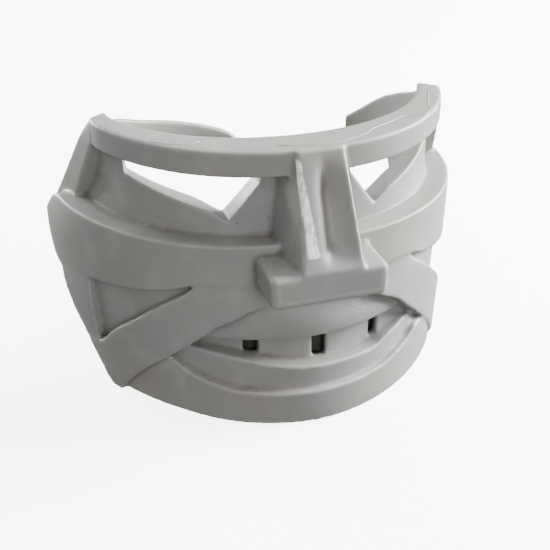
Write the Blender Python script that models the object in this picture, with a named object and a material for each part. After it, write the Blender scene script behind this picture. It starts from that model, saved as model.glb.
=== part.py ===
"""Rigid wrap-around face mask, moulded in one piece.

A thick curved shell follows the face. Raised bands lie on it: a brow bar, two side
posts, a cheek band, two slanting jaw bands and a chin band, with a ridged nose that ends
in a square block and a wide mouth of two lips over a row of teeth. The shell runs on
behind the cheeks as two tapering arms of unequal length. Units are metres, +Z is up, the
face looks along -Y, and the flat lower rim stands on Z = 0.
"""

import math

import bmesh
import bpy
import numpy as np
from mathutils import Vector

# Overall sizes
MASK_HEIGHT = 0.1113        # rim to the flat top of the brow bar
CHEEK_HALF_WIDTH = 0.084    # middle to the outside of the cheek band
FRONT_REACH = 0.0848        # middle of the ring to the front of the cheek band
BACK_REACH = 0.0617         # middle of the ring to the inside of the arms at the back

# Walls and relief
ARM_WALL = 0.0036           # wall at the back of the arms
EDGE_BREAK = 0.0011         # softened corner along each raised band
OVERLAP = 0.0015            # how far crossing pieces run into each other
CLEAR = 0.0004              # keeps two faces of crossing pieces from lying in one plane
SINK = 0.0018               # how far the shallowest raised piece is rooted in the shell
ROOT_STEP = 0.00035         # each further piece is rooted this much deeper

# Heights above the rim
CHEEK_TOP = 0.0752          # flat upper face of the cheek band
BROW_BAR = 0.0097           # height of the brow bar
BROW_LOW = MASK_HEIGHT - BROW_BAR

# Nose
NOSE_TOP_HALF = 0.0086      # half the width across the ridges at the brow
NOSE_TIP_HALF = 0.0115      # half the width across the ridges at the block
NOSE_FOOT_FLARE = 0.0034    # how much wider the nose is where it meets the shell
NOSE_ROOT_PROUD = 0.0012    # how far its top stands in front of the brow bar
NOSE_SHIFT = 0.0010         # the nose stands this far to the wearer's left
RIGHT_RIDGE = 0.0046        # flat of the broad ridge, on the wearer's right
LEFT_RIDGE = 0.0018         # flat of the narrow ridge
FLUTE_DEPTH = 0.0045        # hollow between the ridges
BLOCK_WIDTH = 0.0440
BLOCK_HEIGHT = 0.0126
BLOCK_REACH = 0.0185        # front of the cheek band to the front of the block
BLOCK_DROP = 0.0034         # top of the cheek band to the top of the block
BLOCK_BREAK = 0.0014

# Mouth
SLOT_WIDTH = 0.0054         # gap between two teeth
SLOT_PITCH = 0.0260         # middle of one gap to the middle of the next
SLOT_SHIFT = 0.0036         # the row stands slightly to the wearer's left
SLOT_HEIGHT = 0.0120
SLOT_DEPTH = 0.0048         # the gaps are blind
LIP_CROWN = 0.0014          # how far the upper lip bulges
LIP_TURN = 0.0016           # ends of the upper lip behind its middle
LIP_SET_BACK = 0.0032       # lips behind the face of the chin band

CHIN_SET_BACK = 0.0016      # ends of the chin band behind its middle
JAW_PROUD = 0.0012          # jaw bands in front of the cheek band at the corners
LEFT_JAW_FOOT = 0.0034      # the jaw's corner on the wearer's left stays this far above the rim
POST_SET_BACK = 0.0032      # jaw post behind the cheek band on the wearer's left

# Brow ends and arms, as angles round the ring from the middle of the face
LEFT_BROW_END = 71.5
RIGHT_BROW_END = 68.5
LEFT_ARM_END = 191.0
RIGHT_ARM_END = 122.0
BACK_SQUARENESS = 2.3
CHEEK_TURN = 50.0           # where the two sides of the ring begin to differ
BROW_TURN = 64.0            # the same at the brow
BEHIND_CHEEKS = 88.0
TAIL_END = 14.0             # angle over which the cheek band runs out into the arms
TAIL_DEPTH = 0.0074
POST_TAIL = 7.0             # angle over which a side post runs out into the arm
LEFT_POST_OUT = 0.0022      # the front of the post on the wearer's left stands further out
LEFT_POST_IN = 0.0016       # and its rear corner further in
LEFT_POST_HEAD = 0.0062     # and ends this far below the top
COLUMN_STEP = 5.0           # angle between two columns of the shell

# Plan of the ring at each height: half widths as shares of CHEEK_HALF_WIDTH, reaches to
# the front as shares of FRONT_REACH. "band" is the face of the raised bands, "base" the
# face of the shell between them, "inner" the side towards the head. "left_side" and
# "right_side" widen or narrow the ring beyond the cheeks, which are not quite alike.
LEVELS = [
    dict(height=0.0, band_half=0.985, band_reach=1.090, base_half=0.880, base_reach=0.985,
         inner_half=0.815, inner_reach=0.880, left_side=1.000, right_side=1.000, squareness=1.85),
    dict(height=0.34 * CHEEK_TOP, band_half=0.995, band_reach=1.088, base_half=0.895, base_reach=0.970,
         inner_half=0.825, inner_reach=0.870, left_side=1.015, right_side=0.990, squareness=1.88),
    dict(height=0.53 * CHEEK_TOP, band_half=1.000, band_reach=1.070, base_half=0.905, base_reach=0.958,
         inner_half=0.832, inner_reach=0.855, left_side=1.030, right_side=0.985, squareness=1.95),
    dict(height=0.79 * CHEEK_TOP, band_half=1.000, band_reach=1.020, base_half=0.910, base_reach=0.925,
         inner_half=0.840, inner_reach=0.795, left_side=1.042, right_side=0.985, squareness=2.10),
    dict(height=CHEEK_TOP, band_half=1.000, band_reach=1.000, base_half=0.880, base_reach=0.900,
         inner_half=0.842, inner_reach=0.762, left_side=1.010, right_side=0.985, squareness=2.15),
    dict(height=BROW_LOW, band_half=0.915, band_reach=1.005, base_half=0.868, base_reach=0.900,
         inner_half=0.830, inner_reach=0.800, left_side=0.885, right_side=0.925, squareness=2.15),
    dict(height=MASK_HEIGHT, band_half=0.910, band_reach=1.005, base_half=0.865, base_reach=0.900,
         inner_half=0.825, inner_reach=0.820, left_side=0.880, right_side=0.910, squareness=2.15),
]

# Upper edge of the shell behind the brow ends, as shares of MASK_HEIGHT
ARM_TOP_LEFT = [(70.0, 0.965), (76.0, 0.935), (86.0, 0.900), (97.0, 0.845), (110.0, 0.785), (122.0, 0.750),
                (138.0, 0.718), (151.0, 0.679), (166.0, 0.643), (182.0, 0.588), (186.0, 0.565), (191.0, 0.505)]
ARM_TOP_RIGHT = [(69.0, 0.962), (73.0, 0.947), (79.0, 0.922), (86.0, 0.892), (92.0, 0.857), (97.0, 0.831),
                 (106.0, 0.777), (115.0, 0.716), (122.0, 0.668)]

# Side view of what is cut away behind the jaw and below the arms: distance behind the
# middle of the ring as shares of BACK_REACH, height as shares of CHEEK_TOP
REAR_CUT = [(-0.92, -0.30), (-0.70, 0.0), (-0.65, 0.04), (-0.59, 0.117), (-0.48, 0.223), (-0.32, 0.363),
            (-0.27, 0.48), (-0.24, 0.575), (-0.10, 0.60), (0.04, 0.68), (0.15, 0.83), (0.55, 0.85), (0.86, 0.815),
            (0.97, 0.78), (1.01, 0.70), (1.35, 0.60), (1.35, -0.30)]

# Raised bands: angle from the middle of the face, lower and upper edge as shares of CHEEK_TOP
CHEEK_BAND = [(0.0, 0.79, 1.0), (28.0, 0.79, 1.0), (31.1, 0.779, 1.0), (37.1, 0.740, 1.0), (45.7, 0.701, 1.0),
              (55.7, 0.666, 1.0), (65.5, 0.637, 1.0), (75.8, 0.597, 1.0), (80.0, 0.590, 1.0), (84.0, 0.588, 0.985),
              (88.0, 0.600, 0.920), (92.0, 0.660, 0.840), (98.0, 0.720, 0.800), (106.0, 0.745, 0.770)]
JAW_BAND = [(0.0, 0.70, 0.88), (14.7, 0.667, 0.85), (20.3, 0.614, 0.82), (26.0, 0.557, 0.80), (30.9, 0.474, 0.770),
            (34.0, 0.425, 0.725), (39.3, 0.335, 0.660), (45.5, 0.235, 0.567), (51.0, 0.125, 0.475), (55.5, 0.02, 0.405),
            (58.0, -0.05, 0.355), (62.5, -0.06, 0.265), (70.0, -0.06, 0.20)]
CHIN_BAND = [(-60.0, -0.08, 0.15), (-54.0, -0.08, 0.24), (-47.0, -0.08, 0.330), (-41.4, -0.08, 0.325),
             (-36.4, -0.08, 0.285), (-31.0, -0.08, 0.240), (-25.0, -0.08, 0.215), (-19.0, -0.08, 0.195), (0.0, -0.08, 0.190),
             (19.0, -0.08, 0.195), (27.2, -0.08, 0.224), (34.4, -0.08, 0.262), (38.5, -0.08, 0.298), (42.0, -0.08, 0.292),
             (45.6, -0.08, 0.227), (49.5, -0.08, 0.143), (52.4, -0.08, 0.070), (56.0, -0.08, -0.02)]
LOWER_LIP = [(-41.0, 0.27, 0.36), (-37.5, 0.25, 0.385), (-34.1, 0.21, 0.396), (-29.1, 0.16, 0.391), (-23.2, 0.13, 0.380),
             (-12.3, 0.12, 0.340), (-2.9, 0.12, 0.317), (5.6, 0.12, 0.311), (18.8, 0.13, 0.305), (23.8, 0.14, 0.328),
             (29.5, 0.17, 0.353), (34.3, 0.20, 0.368), (37.2, 0.21, 0.368), (40.4, 0.225, 0.325), (42.6, 0.235, 0.265)]
UPPER_LIP = [(0.0, 0.473, 0.70), (5.8, 0.473, 0.69), (14.0, 0.470, 0.655), (21.0, 0.464, 0.592), (26.0, 0.455, 0.548),
             (31.5, 0.442, 0.500)]

# Outer face of a side post at three heights: "up" is a share of the way from CHEEK_TOP to
# MASK_HEIGHT, "out" a share of CHEEK_HALF_WIDTH, "forward" of the ring's middle a share of
# FRONT_REACH, and "root" the angle at which that corner is rooted in the shell
POST_FACE = [
    dict(up=-0.230, front_out=0.940, front_forward=0.149, front_root=80.8,
         rear_out=0.995, rear_forward=-0.040, rear_root=92.3),
    dict(up=0.731, front_out=0.848, front_forward=0.400, front_root=65.4,
         rear_out=0.883, rear_forward=0.262, rear_root=76.5),
    dict(up=0.972, front_out=0.840, front_forward=0.391, front_root=65.8,
         rear_out=0.840, rear_forward=0.350, rear_root=71.5),
]

# Eye openings in the shell, seen from the front: distance from the middle as shares of
# CHEEK_HALF_WIDTH, height as shares of the way from CHEEK_TOP up to BROW_LOW
EYE_OUTLINE = [(0.338, 0.215), (0.755, 0.700), (0.755, 1.250), (0.195, 1.250), (0.205, 0.800)]
EYE_FLARE = 0.30            # how fast the outer end of an eye widens towards the front
POST_ROWS = 6

CAST_GREY = (0.33, 0.33, 0.32, 1.0)
CAST_ROUGHNESS = 0.42

# The ring's middle lies so far back that the whole mask is centred on the origin
RING_MIDDLE = (FRONT_REACH + BLOCK_REACH - BACK_REACH - ARM_WALL) / 2


def clear_scene():
    for item in list(bpy.data.objects):
        bpy.data.objects.remove(item, do_unlink=True)


def new_collection(name):
    collection = bpy.data.collections.new(name)
    bpy.context.scene.collection.children.link(collection)
    return collection


def cast_plastic():
    material = bpy.data.materials.new("cast_grey_plastic")
    material.use_nodes = True
    shader = material.node_tree.nodes["Principled BSDF"]
    shader.inputs["Base Color"].default_value = CAST_GREY
    shader.inputs["Roughness"].default_value = CAST_ROUGHNESS
    shader.inputs["Metallic"].default_value = 0.0
    return material


def level_value(column, height):
    """Reads one column of LEVELS at a height, in a straight line between its rows."""
    heights = [row["height"] for row in LEVELS]
    return float(np.interp(height, heights, [row[column] for row in LEVELS]))


def side_share(angle, height):
    """How the ring's width changes from the cheeks backwards."""
    share = level_value("left_side" if angle < 0.0 else "right_side", height)
    start = CHEEK_TURN if share > 0.95 else BROW_TURN
    return 1.0 + (share - 1.0) * smooth(abs(angle), start, BEHIND_CHEEKS)


def ring_point(surface, angle, height, inset=0.0):
    """A point of one of the three faces of the ring, moved inwards by inset."""
    turn = math.radians(angle)
    half = level_value(surface + "_half", height) * CHEEK_HALF_WIDTH * side_share(angle, height)
    across = math.sin(turn)
    if math.cos(turn) >= 0.0:
        reach = level_value(surface + "_reach", height) * FRONT_REACH
        power = level_value("squareness", height)
        side = -1.0
    else:
        reach = BACK_REACH + (0.0 if surface == "inner" else ARM_WALL)
        power = BACK_SQUARENESS
        side = 1.0
    share = max(0.0, 1.0 - abs(across) ** power) ** (1.0 / power)
    normal = Vector((math.copysign(abs(across) ** (power - 1.0) / half, across),
                     side * share ** (power - 1.0) / reach, 0.0)).normalized()
    return Vector((half * across, RING_MIDDLE + side * reach * share, height)) - inset * normal


def edge_table(table, angle, column):
    """Reads a band's edge at an angle. A table without negative angles holds for both sides."""
    turned = angle if table[0][0] < 0.0 else abs(angle)
    return float(np.interp(turned, [row[0] for row in table], [row[column] for row in table]))


def object_from_grid(name, outer, inner, collection):
    """Closes two equal grids of points, a face and its back, into one solid."""
    columns, rows = len(outer), len(outer[0])
    mesh = bmesh.new()
    front = [[mesh.verts.new(point) for point in column] for column in outer]
    back = [[mesh.verts.new(point) for point in column] for column in inner]
    for i in range(columns - 1):
        for j in range(rows - 1):
            mesh.faces.new((front[i][j], front[i + 1][j], front[i + 1][j + 1], front[i][j + 1]))
            mesh.faces.new((back[i][j], back[i][j + 1], back[i + 1][j + 1], back[i + 1][j]))
    for i in range(columns - 1):
        mesh.faces.new((front[i][0], back[i][0], back[i + 1][0], front[i + 1][0]))
        mesh.faces.new((front[i][-1], front[i + 1][-1], back[i + 1][-1], back[i][-1]))
    for j in range(rows - 1):
        mesh.faces.new((front[0][j], front[0][j + 1], back[0][j + 1], back[0][j]))
        mesh.faces.new((front[-1][j], back[-1][j], back[-1][j + 1], front[-1][j + 1]))
    bmesh.ops.triangulate(mesh, faces=mesh.faces)
    bmesh.ops.recalc_face_normals(mesh, faces=mesh.faces)
    data = bpy.data.meshes.new(name)
    mesh.to_mesh(data)
    mesh.free()
    item = bpy.data.objects.new(name, data)
    collection.objects.link(item)
    return item


def as_tool(item):
    item.hide_render = True
    item.display_type = "WIRE"
    return item


def band(name, place, depth, columns, rows, collection, sink):
    """A raised slab on the ring. place(u, v) gives angle and height, depth(u, v) the inset
    of its face, and sink(u, v) the inset of its back behind the face of the shell."""
    outer, inner = [], []
    for i in range(columns + 1):
        u = i / columns
        low, high = place(u, 0.0)[1], place(u, 1.0)[1]
        soft = min(0.3, EDGE_BREAK / max(high - low, EDGE_BREAK))
        steps = [0.0, soft] + [soft + (1.0 - 2.0 * soft) * k / (rows - 1) for k in range(1, rows - 1)] + [1.0 - soft, 1.0]
        outer_column, inner_column = [], []
        for k, v in enumerate(steps):
            angle, height = place(u, v)
            inset = depth(u, v) + (EDGE_BREAK if k in (0, len(steps) - 1) else 0.0)
            outer_column.append(ring_point("band", angle, height, inset))
            inner_column.append(ring_point("base", angle, height, sink(u, v)))
        outer.append(outer_column)
        inner.append(inner_column)
    return as_tool(object_from_grid(name, outer, inner, collection))


def rooted(order):
    """The depth of a piece's root; no two pieces share one, so that no two faces coincide."""
    return lambda u, v: SINK + order * ROOT_STEP


def table_band(name, table, depth, columns, rows, collection, order, left_foot=-1.0):
    """A band whose edges follow a table. On the wearer's left it stays above left_foot."""
    stop = table[-1][0]
    start = table[0][0] if table[0][0] < 0.0 else -stop

    def place(u, v):
        angle = start + (stop - start) * u
        low = edge_table(table, angle, 1) * CHEEK_TOP
        if angle > 0.0:
            low = max(low, left_foot)
        high = edge_table(table, angle, 2) * CHEEK_TOP
        return angle, low + (high - low) * v

    return band(name, place, lambda u, v: depth(place(u, v)[0], v), columns, rows, collection, rooted(order))


def shell(collection):
    """The thick curved wall that carries every band, with both arms."""
    corners = [-LEFT_ARM_END, -LEFT_BROW_END, RIGHT_BROW_END, RIGHT_ARM_END]
    angles = [corners[-1]]
    for first, last in zip(corners, corners[1:]):
        count = int(math.ceil((last - first) / COLUMN_STEP))
        angles += [first + (last - first) * k / count for k in range(count)]
    outer, inner = [], []
    for angle in sorted(angles):
        table = ARM_TOP_LEFT if angle < 0.0 else ARM_TOP_RIGHT
        if -LEFT_BROW_END < angle < RIGHT_BROW_END:
            top = MASK_HEIGHT - BROW_BAR * 0.5
        else:
            top = edge_table(table, angle, 1) * MASK_HEIGHT
        bottom = -0.04 * CHEEK_TOP
        levels = [bottom] + [row["height"] for row in LEVELS[1:-1] if row["height"] < top - ARM_WALL]
        while len(levels) < len(LEVELS) - 1:
            levels.append(levels[-1] + (top - levels[-1]) * 0.5)
        levels.append(top)
        outer.append([ring_point("base", angle, height) for height in levels])
        inner.append([ring_point("inner", angle, height) for height in levels])
    return object_from_grid("face_mask", outer, inner, collection)


def eye_cutter(side, collection):
    """A block through the shell, wider at its outer end towards the front."""
    data = bmesh.new()
    layers = []
    for depth in (RING_MIDDLE - 1.12 * FRONT_REACH, RING_MIDDLE - 0.10 * FRONT_REACH):
        spread = EYE_FLARE * (RING_MIDDLE - 0.62 * FRONT_REACH - depth)
        points = []
        for across, up in EYE_OUTLINE:
            outward = spread if across > 0.5 else 0.0
            x = side * (across * CHEEK_HALF_WIDTH + outward)
            points.append(data.verts.new((x, depth, CHEEK_TOP + up * (BROW_LOW - CHEEK_TOP))))
        layers.append(points)
    count = len(EYE_OUTLINE)
    data.faces.new(layers[0])
    data.faces.new(list(reversed(layers[1])))
    for k in range(count):
        n = (k + 1) % count
        data.faces.new((layers[0][k], layers[1][k], layers[1][n], layers[0][n]))
    bmesh.ops.triangulate(data, faces=data.faces)
    bmesh.ops.recalc_face_normals(data, faces=data.faces)
    mesh = bpy.data.meshes.new("eye_cutter")
    data.to_mesh(mesh)
    data.free()
    item = bpy.data.objects.new("eye_cutter", mesh)
    collection.objects.link(item)
    return as_tool(item)


def box(name, centre, size, collection, bevel=0.0):
    data = bmesh.new()
    bmesh.ops.create_cube(data, size=1.0)
    bmesh.ops.scale(data, vec=size, verts=data.verts)
    bmesh.ops.translate(data, vec=centre, verts=data.verts)
    if bevel > 0.0:
        bmesh.ops.bevel(data, geom=data.edges[:], offset=bevel, segments=2, profile=0.5, affect="EDGES")
    mesh = bpy.data.meshes.new(name)
    data.to_mesh(mesh)
    data.free()
    item = bpy.data.objects.new(name, mesh)
    collection.objects.link(item)
    return as_tool(item)


def rear_cutter(collection):
    """A flat outline in side view, drawn out across the whole width."""
    curve = bpy.data.curves.new("rear_cut", "CURVE")
    curve.dimensions = "2D"
    curve.fill_mode = "BOTH"
    curve.extrude = 1.3 * CHEEK_HALF_WIDTH
    spline = curve.splines.new("POLY")
    spline.points.add(len(REAR_CUT) - 1)
    for point, (back, up) in zip(spline.points, REAR_CUT):
        point.co = (RING_MIDDLE + back * BACK_REACH, up * CHEEK_TOP, 0.0, 1.0)
    spline.use_cyclic_u = True
    drawn = bpy.data.objects.new("rear_cut_outline", curve)
    drawn.rotation_euler = (math.radians(90.0), 0.0, math.radians(90.0))
    collection.objects.link(drawn)
    bpy.context.view_layer.update()
    mesh = bpy.data.meshes.new_from_object(drawn.evaluated_get(bpy.context.evaluated_depsgraph_get()))
    mesh.transform(drawn.matrix_world)
    bpy.data.objects.remove(drawn)
    solid = bmesh.new()
    solid.from_mesh(mesh)
    bmesh.ops.remove_doubles(solid, verts=solid.verts, dist=1e-6)
    bmesh.ops.recalc_face_normals(solid, faces=solid.faces)
    solid.to_mesh(mesh)
    solid.free()
    item = bpy.data.objects.new("rear_cut", mesh)
    collection.objects.link(item)
    return as_tool(item)


def brow_bar(collection):
    """The thick bar over the eyes, as deep as the whole wall. It overshoots the flat top."""

    def place(u, v):
        angle = -LEFT_BROW_END + (LEFT_BROW_END + RIGHT_BROW_END) * u
        return angle, BROW_LOW + (BROW_BAR + 2.0 * EDGE_BREAK) * v

    def sink(u, v):
        angle, height = place(u, v)
        wall = ring_point("base", angle, height) - ring_point("inner", angle, height)
        return wall.length + CLEAR

    return band("brow_bar", place, lambda u, v: 0.0, 36, 3, collection, sink)


def smooth(value, start, stop):
    """Runs from 0 at start to 1 at stop without a corner at either end."""
    share = min(1.0, max(0.0, (value - start) / (stop - start)))
    return share * share * (3.0 - 2.0 * share)


def post_value(column, height):
    """Reads one column of POST_FACE at a height."""
    rise = (height - CHEEK_TOP) / (MASK_HEIGHT - CHEEK_TOP)
    return float(np.interp(rise, [row["up"] for row in POST_FACE], [row[column] for row in POST_FACE]))


def side_post(side, collection):
    """The raised post from the brow's end down to the cheek band. Its outer face leans
    outwards going down, and behind its rear corner it runs out into the arm."""
    arm_top = ARM_TOP_LEFT if side < 0.0 else ARM_TOP_RIGHT
    outer, inner = [], []
    for across, tail in ((0.0, 0.0), (0.12, 0.0), (0.56, 0.0), (1.0, 0.0), (1.0, POST_TAIL)):

        def root(height):
            front, rear = post_value("front_root", height), post_value("rear_root", height)
            return front + (rear - front) * across + tail

        foot = edge_table(CHEEK_BAND, root(CHEEK_TOP), 2) * CHEEK_TOP - OVERLAP
        head = MASK_HEIGHT - (EDGE_BREAK if side < 0.0 else LEFT_POST_HEAD)
        if tail > 0.0:
            head = edge_table(arm_top, root(head), 1) * MASK_HEIGHT - CLEAR
        outer_column, inner_column = [], []
        for k in range(POST_ROWS + 1):
            height = foot + (head - foot) * k / POST_ROWS
            angle = side * root(height)
            inner_column.append(ring_point("base", angle, height, SINK + ROOT_STEP))
            if tail > 0.0:
                outer_column.append(ring_point("base", angle, height, CLEAR))
                continue
            out = post_value("front_out", height) * (1.0 - across) + post_value("rear_out", height) * across
            forward = post_value("front_forward", height) * (1.0 - across) + post_value("rear_forward", height) * across
            broken = EDGE_BREAK if across == 0.0 else 0.0
            beyond = LEFT_POST_OUT * (1.0 - across) - LEFT_POST_IN * across if side > 0.0 else 0.0
            outer_column.append(Vector((side * (out * CHEEK_HALF_WIDTH + beyond - broken),
                                        RING_MIDDLE - forward * FRONT_REACH, height)))
        outer.append(outer_column)
        inner.append(inner_column)
    return as_tool(object_from_grid("side_post", outer, inner, collection))


def cheek_band(collection):
    def depth(angle, v):
        return TAIL_DEPTH * max(0.0, (abs(angle) - CHEEK_BAND[-1][0] + TAIL_END) / TAIL_END) ** 1.5

    return table_band("cheek_band", CHEEK_BAND, depth, 56, 4, collection, 0)


def jaw_inset(angle):
    """The jaw bands stand a little proud of the cheek band towards the corners."""
    return CLEAR - (JAW_PROUD + CLEAR) * smooth(abs(angle), 30.0, 52.0)


def jaw_band(collection):
    return table_band("jaw_band", JAW_BAND, lambda angle, v: jaw_inset(angle), 40, 4, collection, 2, LEFT_JAW_FOOT)


def jaw_post(side, collection):
    """The raised edge from the jaw's corner up to the cheek band, along the rear cut. On
    the wearer's left it stays behind the bands."""
    foot, head = 0.12 * CHEEK_TOP, 0.70 * CHEEK_TOP

    def place(u, v):
        front = 63.3 + 2.2 * v
        return side * (front + (88.0 - front) * u), foot + (head - foot) * v

    def depth(u, v):
        if side > 0.0:
            return POST_SET_BACK - (POST_SET_BACK + 0.5 * JAW_PROUD) * (1.0 - smooth(v, 0.0, 0.45))
        return 0.75 * CLEAR - JAW_PROUD * (1.0 - smooth(v, 0.6, 1.0))

    return band("jaw_post", place, depth, 7, 5, collection, rooted(3))


def chin_inset(angle):
    """The chin band falls back under the jaw band towards its end on the wearer's right."""
    return CHIN_SET_BACK * smooth(-angle, 20.0, 42.0)


def chin_band(collection):
    return table_band("chin_band", CHIN_BAND, lambda angle, v: chin_inset(angle), 26, 3, collection, 4)


def lower_lip(collection):
    def depth(angle, v):
        return chin_inset(angle) + LIP_SET_BACK

    return table_band("lower_lip", LOWER_LIP, depth, 18, 3, collection, 5)


def upper_lip(collection):
    def depth(angle, v):
        return LIP_SET_BACK + LIP_CROWN * (2.0 * v - 0.9) ** 2 + LIP_TURN * (abs(angle) / UPPER_LIP[-1][0]) ** 2

    return table_band("upper_lip", UPPER_LIP, depth, 14, 4, collection, 6)


def nose(collection):
    """Two ridges with a flute between them, leaning forward from the brow to the block."""
    top = MASK_HEIGHT + 2.0 * EDGE_BREAK
    bottom = CHEEK_TOP - BLOCK_DROP - 0.5 * BLOCK_HEIGHT
    root_face = ring_point("band", 0.0, MASK_HEIGHT).y - NOSE_ROOT_PROUD
    tip_face = ring_point("band", 0.0, CHEEK_TOP).y - BLOCK_REACH
    foot_face = ring_point("base", 0.0, CHEEK_TOP).y + SINK
    rows = 10
    outer, inner = [], []
    for j in range(rows + 1):
        height = bottom + (top - bottom) * j / rows
        rise = (height - (CHEEK_TOP - BLOCK_DROP)) / (MASK_HEIGHT - CHEEK_TOP + BLOCK_DROP)
        rise = min(1.0, max(0.0, rise))
        face = tip_face + (root_face - tip_face) * rise + CLEAR
        half = NOSE_TIP_HALF + (NOSE_TOP_HALF - NOSE_TIP_HALF) * rise
        hollow = FLUTE_DEPTH * min(1.0, 4.0 * rise, 3.2 * (1.0 - rise)) if rise > 0.0 else 0.0
        foot = half + NOSE_FOOT_FLARE
        edge = EDGE_BREAK
        right, left = -half + RIGHT_RIDGE, half - LEFT_RIDGE
        middle, spread = 0.5 * (left + right), 0.25 * (left - right)
        profile = [(-foot, foot_face), (-half, face + edge), (-half + edge, face), (right, face),
                   (middle - spread, face + 0.85 * hollow), (middle, face + hollow),
                   (middle + spread, face + 0.85 * hollow), (left, face), (half - 0.5 * edge, face),
                   (half, face + edge), (foot, foot_face)]
        outer.append([Vector((x + NOSE_SHIFT, y, height)) for x, y in profile])
        inner.append([Vector((foot * (2.0 * k / (len(profile) - 1) - 1.0) + NOSE_SHIFT, foot_face + 1.5 * CLEAR, height))
                      for k in range(len(profile))])
    return as_tool(object_from_grid("nose", outer, inner, collection))


def nose_block(collection):
    front = ring_point("band", 0.0, CHEEK_TOP).y - BLOCK_REACH
    back = ring_point("base", 0.0, CHEEK_TOP).y + SINK
    middle = CHEEK_TOP - BLOCK_DROP - 0.5 * BLOCK_HEIGHT
    return box("nose_block", (0.0, 0.5 * (front + back), middle), (BLOCK_WIDTH, back - front, BLOCK_HEIGHT),
               collection, BLOCK_BREAK)


def tooth_slot(place, collection):
    """A square gap between two teeth. It is blind and stops inside the wall."""
    middle = place * SLOT_PITCH + SLOT_SHIFT
    floor = 0.30 * CHEEK_TOP
    angle = math.degrees(math.asin(middle / (level_value("base_half", floor) * CHEEK_HALF_WIDTH)))
    back = ring_point("base", angle, floor + 0.5 * SLOT_HEIGHT).y + SLOT_DEPTH
    front = back - 2.0 * BLOCK_REACH
    return box("tooth_slot", (middle, 0.5 * (front + back), floor + 0.5 * SLOT_HEIGHT),
               (SLOT_WIDTH, back - front, SLOT_HEIGHT), collection)


def trim_block(name, low, high, collection):
    """A wide block that levels the top or the rim."""
    size = 3.0 * (CHEEK_HALF_WIDTH + FRONT_REACH)
    return box(name, (0.0, 0.0, 0.5 * (low + high)), (size, size, high - low), collection)


def join(target, tool, operation):
    modifier = target.modifiers.new(tool.name, "BOOLEAN")
    modifier.operation = operation
    modifier.solver = "EXACT"
    modifier.object = tool


def centre_on_origin(mask, parts, tools):
    """Moves the mask and its tools together until its outline is centred on the origin."""
    bpy.context.view_layer.update()
    shape = mask.evaluated_get(bpy.context.evaluated_depsgraph_get()).to_mesh()
    across = [vertex.co.x for vertex in shape.vertices]
    along = [vertex.co.y for vertex in shape.vertices]
    centre = bpy.data.objects.new("face_mask_centre", None)
    centre.location = (-0.5 * (min(across) + max(across)), -0.5 * (min(along) + max(along)), 0.0)
    parts.objects.link(centre)
    for item in [mask] + list(tools.objects):
        item.parent = centre


def main():
    clear_scene()
    parts = new_collection("face_mask")
    tools = new_collection("tools")
    mask = shell(parts)
    mask.data.materials.append(cast_plastic())
    for side in (-1.0, 1.0):
        join(mask, eye_cutter(side, tools), "DIFFERENCE")
    for place in (-1, 0, 1):
        join(mask, tooth_slot(place, tools), "DIFFERENCE")
    raised = [cheek_band(tools), jaw_band(tools)]
    for side in (-1.0, 1.0):
        raised += [side_post(side, tools), jaw_post(side, tools)]
    raised += [chin_band(tools), lower_lip(tools), upper_lip(tools), brow_bar(tools), nose_block(tools), nose(tools)]
    for piece in raised:
        join(mask, piece, "UNION")
    join(mask, rear_cutter(tools), "DIFFERENCE")
    join(mask, trim_block("top_trim", MASK_HEIGHT, MASK_HEIGHT + 2.0 * BROW_BAR, tools), "DIFFERENCE")
    join(mask, trim_block("rim_trim", -2.0 * BROW_BAR, 0.0, tools), "DIFFERENCE")
    centre_on_origin(mask, parts, tools)


main()
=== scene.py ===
import math

import bmesh
import bpy
import numpy as np
from mathutils import Matrix, Vector


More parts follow.
